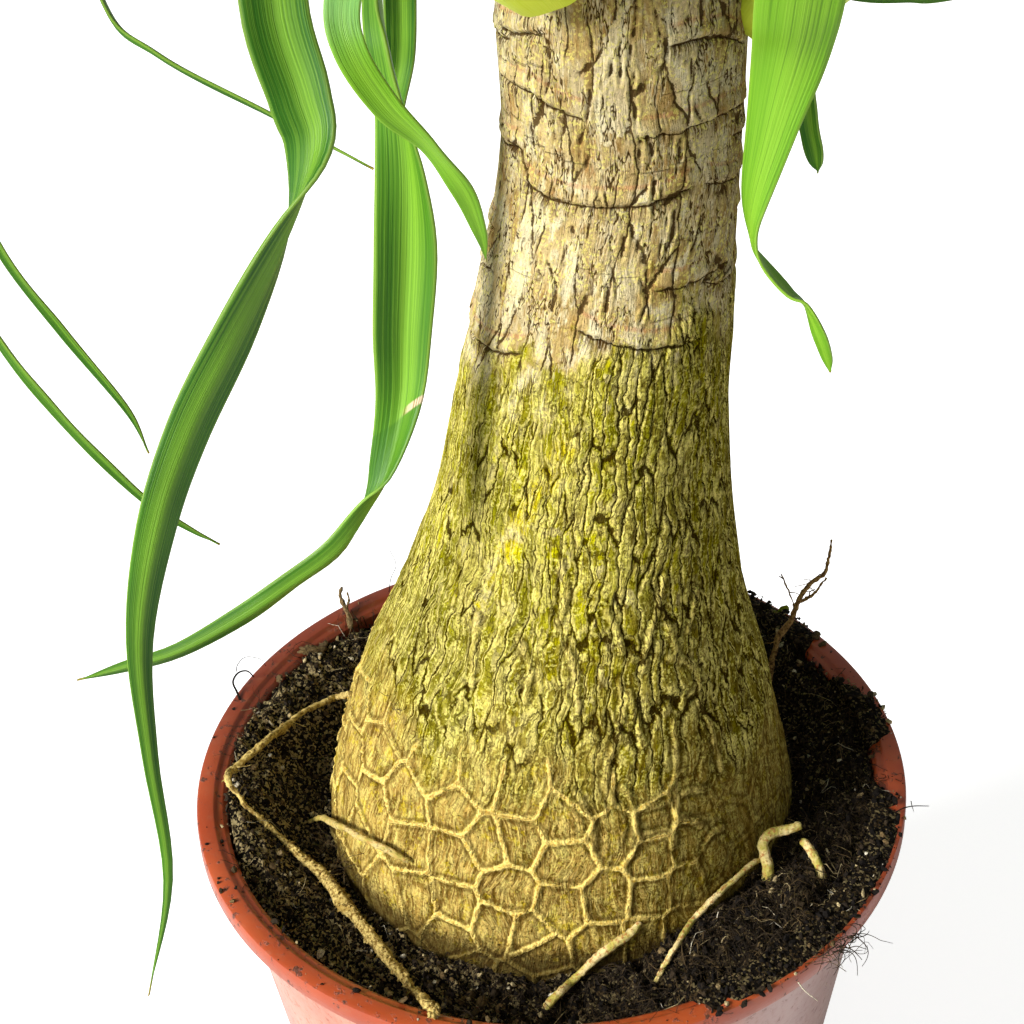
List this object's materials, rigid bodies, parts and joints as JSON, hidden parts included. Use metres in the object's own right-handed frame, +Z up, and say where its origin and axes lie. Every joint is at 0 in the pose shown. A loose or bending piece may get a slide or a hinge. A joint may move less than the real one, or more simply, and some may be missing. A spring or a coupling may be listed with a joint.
{
  "type": "potted ponytail palm",
  "caption": "House plant with a swollen corky trunk, arching strap leaves and surface roots, in a tapered plastic nursery pot filled with soil.",
  "frame": {"origin": "centre of the pot's base, on the surface it stands on", "axes": "+Z up the pot's axis; +Y away from the front that shows the corky net and the hanging leaves; +X to the right, the way the trunk leans"},
  "size_m": [0.6213, 0.6942, 0.5967],
  "materials": {
    "terracotta_plastic": "thin moulded plastic, terracotta colour, satin",
    "potting_soil": "dark peaty potting soil with fine roots and crumbs",
    "corky_bark": "corky bark, yellow-green growth over the middle, tan plates above",
    "green_leaf": "thin ribbed strap leaf, light to mid green, soft sheen"
  },
  "bodies": {
    "root": {"pot": "terracotta_plastic", "soil": "potting_soil", "trunk": "corky_bark", "head_front_left": "green_leaf", "head_right": "green_leaf", "head_back_right": "green_leaf", "head_back_left": "green_leaf"}
  },
  "joints": []
}
